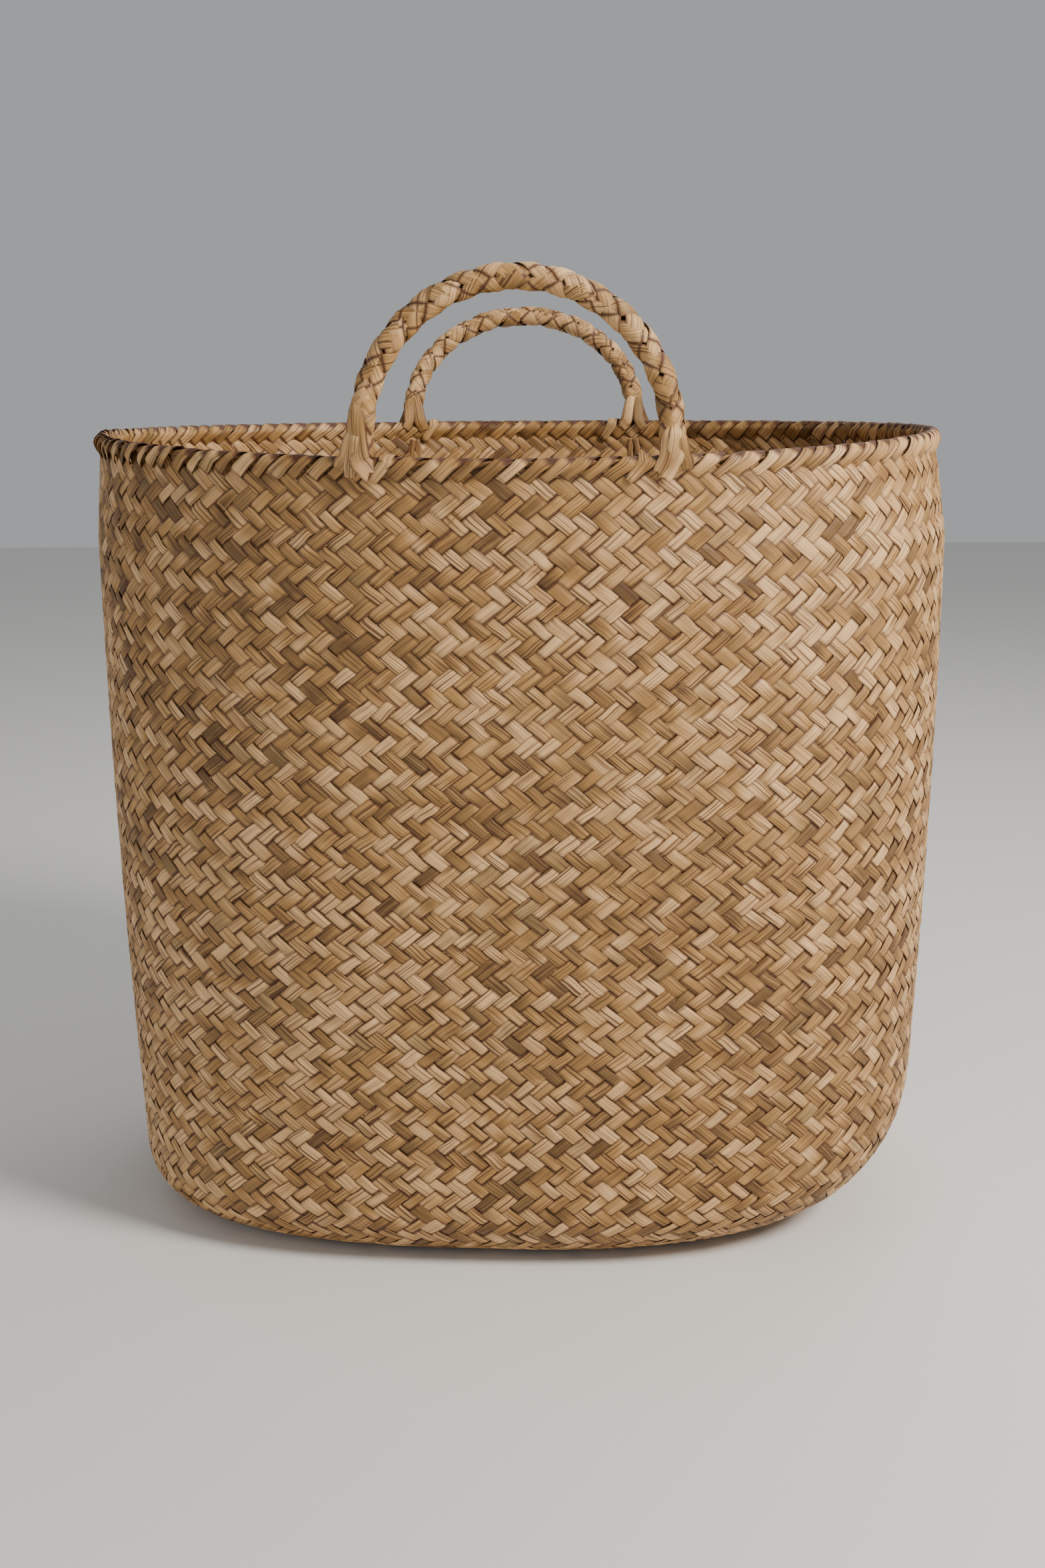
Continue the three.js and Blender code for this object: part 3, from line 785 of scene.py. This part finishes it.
class Handle:
    """One handle: its hinge, and the directions up along its legs and out from them."""

    def __init__(self, side, tilt):
        self.side = side
        angle = np.array(angle_at(HANDLE_SPACING / 2, side))
        forward = section_point(angle, HEIGHT, PLAIT / 2)[1] + side * HANDLE_OUTSET
        self.hinge = np.array([0, forward, rim_top(angle) + HANDLE_RADIUS + LEG_CLEARANCE])
        self.up = np.array([0, side * math.sin(tilt), math.cos(tilt)])
        self.out = np.array([0, side * math.cos(tilt), -math.sin(tilt)])

    def arch(self, gone):
        """Centre of the handle and its direction away from the middle of the arch, at a length."""
        radius = HANDLE_SPACING / 2
        bend = np.clip((gone - HANDLE_LEG) / radius, 0, math.pi)
        straight = np.minimum(gone - HANDLE_LEG, 0)
        straight = straight + np.minimum(HANDLE_LEG + math.pi * radius - gone, 0)
        across, high = -radius * np.cos(bend), HANDLE_LEG + radius * np.sin(bend) + straight
        centre = self.hinge + across[..., None] * RIGHT + high[..., None] * self.up
        away = -np.cos(bend)[..., None] * RIGHT + np.sin(bend)[..., None] * self.up
        return centre, away

    def strip(self, turn, number, random):
        """One strip of the sleeve, winding one way over and under the two that wind the other."""
        step = SLEEVE_PITCH / SLEEVE_CROSSINGS
        crossings = SLEEVE_CROSSINGS * (HANDLE_LENGTH + 2 * SLEEVE_END) / SLEEVE_PITCH
        gone = np.arange(0, crossings, 1 / SLEEVE_SAMPLES)
        wave = np.cos(np.pi * (gone + (number if turn > 0 else number + 1)))
        over = np.sign(wave) * np.minimum(1, np.abs(wave) * SLEEVE_STEEP) ** SLEEVE_ROUND
        slope = math.atan2(2 * math.pi * SLEEVE_RADIUS, SLEEVE_PITCH)
        spots = np.arange(0, crossings + 2)
        lift = np.interp(gone, spots, random.uniform(*SLEEVE_LIFTS, len(spots)) * MM)
        width = np.interp(gone, spots, random.normal(1, SLEEVE_WIDTHS, len(spots)))
        drift = np.interp(gone, spots, random.normal(0, SLEEVE_DRIFT, len(spots)))
        shade = np.interp(gone, spots, random.uniform(*SLEEVE_SHADES, len(spots)))

        along = (gone * step - SLEEVE_END)[:, None]
        offset = ACROSS * SLEEVE_HALF * width[:, None] + drift[:, None]
        angle = turn * (2 * np.pi * along / SLEEVE_PITCH + np.pi / 4) + np.pi * number
        angle = angle + math.cos(slope) * offset / SLEEVE_RADIUS
        centre, away = self.arch(along - turn * math.sin(slope) * offset)
        radius = SLEEVE_RADIUS + SLEEVE_OVER * over[:, None] + FACES * LEAF / 2 * thinning(ACROSS)
        radius = radius + lift[:, None] * np.maximum(0, ACROSS) ** 3
        radius = radius + SLEEVE_CROWN * (RIBBON_LEVEL - ACROSS**2)
        outward = np.cos(angle)[..., None] * away + np.sin(angle)[..., None] * self.out
        sections = centre + radius[..., None] * outward

        leaf_gone = gone[:, None] * step / math.cos(slope)
        leaf = triples(leaf_gone, ACROSS * SLEEVE_HALF, random.uniform(0, TEXTURE_SHIFT))
        # As on the plait, the material darkens the sleeve's dips and edges with painted shade.
        tone = triples(shade[:, None], np.abs(over)[:, None], np.abs(ACROSS))
        return sections, leaf, tone

    def foot(self, hand):
        return self.hinge + hand * HANDLE_SPACING / 2 * RIGHT

    def on_leg(self, hand, aside, height, face, lift):
        """A point above a leg's surface, aside from its middle; face is 1 outside, -1 inside."""
        reach = math.sqrt(max(0, (HANDLE_RADIUS + lift) ** 2 - aside**2))
        return self.foot(hand) + aside * RIGHT + self.up * height + self.out * face * reach

    def on_rim(self, x, drop, lift, face):
        """A point above the rim's outside (face 1) or inside (-1), drop below the rim's top."""
        angle = np.array(angle_at(x, self.side))
        return section_point(angle, rim_top(angle) - drop, PLAIT / 2 - face * (ROLL_RADIUS + lift))


def root_strip(handle, hand, spec, random):
    """A strip that comes out from under the sleeve and lies down over the rim."""
    aside, high, end, drop, half, face, notch = spec
    aside, high, end, drop, half, notch = (v * MM for v in (aside, high, end, drop, half, notch))
    x = hand * HANDLE_SPACING / 2
    over_rim = mix(
        handle.on_leg(hand, mix(aside, end, 0.3), -HANDLE_RADIUS * 0.7, face, 0.3 * MM),
        handle.on_rim(x + mix(aside, end, 0.35), 1.5 * MM, 1.4 * MM, face),
        0.6,
    )
    points = [
        handle.on_leg(hand, aside * 0.5, high + 3 * MM, face, -2.8 * MM),  # under the sleeve
        handle.on_leg(hand, mix(aside, end, 0.12), high * 0.5, face, 0.5 * MM),
        over_rim,
        handle.on_rim(x + mix(aside, end, 0.65), 0.5 * drop, 1.1 * MM, face),
        handle.on_rim(x + end, drop, 0.3 * MM, face),
    ]
    flat = np.array([0.0, handle.side * face, 0.12])
    lean = handle.out * face + RIGHT * aside / HANDLE_RADIUS * 0.9
    normals = [lean, lean, mix(lean, flat, 0.6), flat, flat]
    widths = [half * 0.3, half * 0.95, half * 1.05, half, half * 0.78]
    wrapped = half**2 / (2 * HANDLE_RADIUS)  # crown of a strip that lies round the leg
    crowns = [wrapped, wrapped, 0.6 * wrapped, 0.4 * MM, 0.3 * MM]
    return ribbon(points, normals, widths, random, crowns, notch=notch)


LASHING_LIFT = 0.5 * MM  # how far the lashing stands off the roll
LASHING_ENDS = (11 * MM, 12 * MM)  # how far it reaches down outside and inside
LASHING_SINK = 1.3 * MM  # how far its ends go into the plait
LASHING_SLANT = np.interp(range(9), [0, 1, 7, 8], [-7, -0.9, 0.9, 7]) * MM  # as the rim's strips
LASHING_HALVES = [2.1 * MM] + [3 * MM] * 7 + [2 * MM]  # half its width, along it
LASHING_SAMPLES = 40


def lashing_strip(handle, hand, random):
    """A strip over the rim beside a leg."""
    x = hand * (HANDLE_SPACING / 2 - LASHING_OFFSET)
    angle = np.array([angle_at(x - handle.side * step, handle.side) for step in LASHING_SLANT])
    bends = np.linspace(0, math.pi, len(LASHING_SLANT) - 2)
    depth = PLAIT / 2 - (ROLL_RADIUS + LASHING_LIFT) * np.cos(bends)
    depth = np.concatenate([[depth[0] + LASHING_SINK], depth, [depth[-1] - LASHING_SINK]])
    rise = -ROLL_RADIUS + (ROLL_RADIUS + LASHING_LIFT) * np.sin(bends)
    rise = np.concatenate([[-LASHING_ENDS[0]], rise, [-LASHING_ENDS[1]]])
    points = section_point(angle, rim_top(angle) + rise, depth)
    out = np.array([0.0, handle.side, 0.0])
    over = [out * math.cos(bend) + np.array([0, 0, math.sin(bend)]) for bend in bends]
    return ribbon(points, [out] + over + [-out], LASHING_HALVES, random, samples=LASHING_SAMPLES)


# Points of a tail inside the wall, in millimetres: aside to its own side, aside to the right,
# below the rim's top, and above the rim's inside.
TAIL_POINTS = ((1.2, 0, 11, -1.2), (2.4, 0, 21, -1.9), (1.2, 0.4, 34, -2.1), (3.2, 0, 56, -2.3))
TAIL_HALVES = [1.8 * MM, 2 * MM, 1.8 * MM, 1 * MM]  # half its width, along it


def tail_strip(handle, hand, way, random):
    """One of the two strips by which a leg ends inside the wall; way is -1 left, 1 right."""
    x = hand * HANDLE_SPACING / 2
    points = [
        handle.on_rim(x + (way * own + right) * MM, drop * MM, lift * MM, -1)
        for own, right, drop, lift in TAIL_POINTS
    ]
    inward = np.array([0.2 * way, -handle.side, 0.0])
    return ribbon(points, [inward] * len(points), TAIL_HALVES, random)


# Strips at each foot, in millimetres: where they leave the leg (to the side of its middle, and
# up), where they end (to the side, and below the rim's top), half width, face and notch.
FEET = {
    ("front", "left"): [
        (-3.6, 4, -9, 6, 3.2, 1, 1),
        (-2.6, 3, -3.5, 9.5, 3.0, 1, 0.2),
        (-3.2, 16, 6.5, 9, 4.8, 1, 2.6),
        (1.5, 8, -2, 14, 3.6, -1, 0.8),
    ],
    ("front", "right"): [
        (2.4, 4, -4.5, 11, 3.9, 1, 1.2),
        (-2, 3, -7.5, 8, 2.8, 1, 0.8),
        (3.4, 2, 6, 7, 3.0, 1, 0.6),
        (-1.5, 8, 3, 13, 3.6, -1, 0.8),
    ],
    ("back", "left"): [
        (0, 8, 5, 14, 4.0, 1, 1),
        (-3, 7, -8, 11, 3.2, 1, 0.8),
        (1.7, 5, 6, 6, 3.4, -1, 0.8),
        (-1.9, 4, -6, 5, 3.2, -1, 0.6),
    ],
    ("back", "right"): [
        (0, 8, -5, 14, 4.0, 1, 1),
        (3, 7, 8, 11, 3.2, 1, 0.8),
        (-1.7, 5, -7, 5, 3.4, -1, 0.8),
        (1.9, 4, 7, 5, 3.2, -1, 0.6),
    ],
}
HANDS = {"left": -1, "right": 1}
BLEND_REACH = 7 * MM  # distance above and below the hinge that is given in each foot's span


def build_sleeve(name, handle, random):
    """The four strips of the sleeve, two winding each way, and the cord inside them."""
    body = f"{name}_handle"
    ways = [(turn, number) for turn in (1, -1) for number in (0, 1)]
    for index, (turn, number) in enumerate(ways):
        label = f"{name}_sleeve_strip_{index + 1}"
        nodes = [f"{name}_handle_sleeve"] if index == 0 else []
        parts = [handle.strip(turn, number, random)]
        place_piece(label, parts, handle_leaf, "handle", body, *nodes)
    line, _ = handle.arch(np.linspace(0, HANDLE_LENGTH, HANDLE_POINTS))
    parts = twisted(line, random=random, **HANDLE_CORD)
    place_piece(f"{name}_handle_cord", parts, cord_fibre, "cord", body, f"{name}_handle_core")


def build_foot(name, hand_name, handle, random):
    """What holds one leg: strips that bend over the rim, a lashing, and two tails inside."""
    label, hand = f"{name}_{hand_name}", HANDS[hand_name]
    foot, reach = handle.foot(hand), handle.up * BLEND_REACH
    span = ("basket", f"{name}_handle", foot - reach, foot + reach)
    for index, spec in enumerate(FEET[name, hand_name]):
        nodes = [f"{label}_root"] if index == 0 else []
        parts = [root_strip(handle, hand, spec, random)]
        place_piece(f"{label}_root_strip_{index + 1}", parts, handle_leaf, "handle", span, *nodes)
    parts = [lashing_strip(handle, hand, random)]
    place_piece(f"{label}_lashing_strip", parts, handle_leaf, "handle", "basket", f"{label}_lashing")
    parts = [tail_strip(handle, hand, way, random) for way in (-1, 1)]
    place_piece(f"{label}_tail_strips", parts, cord_fibre, "cord", "basket", f"{label}_tail")


for name, side, tilt in (("front", -1, 0.0), ("back", 1, BACK_TILT)):
    handle = Handle(side, tilt)
    build_sleeve(name, handle, random)
    for hand_name in HANDS:
        build_foot(name, hand_name, handle, random)

# ---- Loose fibres ----

LOOSE_FIBRES = 260
FIBRE_RISES = (2, WALL_TOP - 1)  # where they start on the wall, in strips
FIBRE_LENGTHS = (0.25, 0.8)  # in strips
FIBRE_SLOPES = (0.8, 1.1)  # how steeply they rise beside the strips, which have 1
FIBRE_LIFTS = (0.3, 1.3)  # how far their ends stand off, in millimetres
FIBRE_HALVES = (0.1, 0.24)  # half their width, in millimetres
FIBRE_THICKNESS = 0.12 * MM
FIBRE_CLEARANCE = 0.3 * MM  # between their fixed ends and the strips
FIBRE_POINTS, FIBRE_SAMPLES = 4, 5  # points of its line, and its sections


def loose_fibre(random):
    """A split fibre that has lifted off a strip of the wall."""
    place, rise = random.uniform(0, ROUND), random.uniform(*FIBRE_RISES)
    way = 1 if random.uniform() < 0.5 else -1
    length = random.uniform(*FIBRE_LENGTHS)
    steps = np.linspace(0, 1, FIBRE_POINTS)
    lift = random.uniform(*FIBRE_LIFTS) * MM
    depth = PLAIT / 2 - OVER - FIBRE_CLEARANCE - lift * steps**2
    rises = rise + length * steps * random.uniform(*FIBRE_SLOPES)
    points = wall_point(place + way * length * steps, rises, depth)
    start = np.array([place]), np.array([rise])
    normal = unit(wall_point(*start, np.array([-MM])) - wall_point(*start, np.array([MM])))[0]
    half = random.uniform(*FIBRE_HALVES) * MM
    halves = [half, half, half * 0.8, half * 0.3]
    normals = [normal] * len(steps)
    shape = dict(crowns=(0, 0), thick=FIBRE_THICKNESS, samples=FIBRE_SAMPLES)
    return ribbon(points, normals, halves, random, **shape)


fibres = [loose_fibre(random) for _ in range(LOOSE_FIBRES)]
place_piece("loose_fibres", fibres, plait_leaf, "plait", "basket")

# ---- Camera, light and floor ----

CAMERA_PLACE = (0.0105, -0.9603, 0.429)
CAMERA_TURN, CAMERA_DIP, CAMERA_ROLL = 0.0113, math.radians(12.46), -0.0066
CAMERA_LENS = 41.65
LAMPS_AIM = Vector((0, 0, 0.2))
FLOOR_REACH = 4
FLOOR_GAP = 0.0005  # keeps the floor just below the basket

camera = bpy.data.objects.new("camera", bpy.data.cameras.new("camera"))
bpy.context.scene.collection.objects.link(camera)
camera.location = CAMERA_PLACE
aim = Matrix.Rotation(CAMERA_TURN, 3, "Z") @ Matrix.Rotation(math.pi / 2 - CAMERA_DIP, 3, "X")
camera.rotation_euler = (aim @ Matrix.Rotation(CAMERA_ROLL, 3, "Z")).to_euler()
camera.data.lens = CAMERA_LENS
bpy.context.scene.camera = camera


def area_light(name, place, size, power, colour):
    lamp = bpy.data.objects.new(name, bpy.data.lights.new(name, "AREA"))
    bpy.context.scene.collection.objects.link(lamp)
    lamp.location = place
    lamp.rotation_euler = (LAMPS_AIM - Vector(place)).to_track_quat("-Z", "Y").to_euler()
    lamp.data.shape = "DISK"
    lamp.data.size = size
    lamp.data.energy = power
    lamp.data.color = colour


area_light("key", (1.12, -0.8, 1.25), 0.5, 38, (1, 0.96, 0.9))
area_light("fill", (-1.5, -1.2, 0.7), 1.4, 6, (0.95, 0.97, 1))
area_light("top", (0.4, 0.9, 1.7), 1.2, 8, (1, 1, 1))

world = bpy.data.worlds.new("studio")
world.use_nodes = True
background = world.node_tree.nodes["Background"]
background.inputs["Color"].default_value = (0.9, 0.92, 0.95, 1)
background.inputs["Strength"].default_value = 0.42
bpy.context.scene.world = world

corners = [(x * FLOOR_REACH, y * FLOOR_REACH, 0) for x, y in ((-1, -1), (1, -1), (1, 1), (-1, 1))]
floor_mesh = bpy.data.meshes.new("floor")
floor_mesh.from_pydata(corners, [], [(0, 1, 2, 3)])
floor = bpy.data.objects.new("floor", floor_mesh)
bpy.context.scene.collection.objects.link(floor)
floor.location.z = -FLOOR_GAP
paint = Nodes("floor_paint")
paint.shader.inputs["Base Color"].default_value = linear(226, 224, 220)
paint.shader.inputs["Roughness"].default_value = 0.8
floor_mesh.materials.append(paint.material)
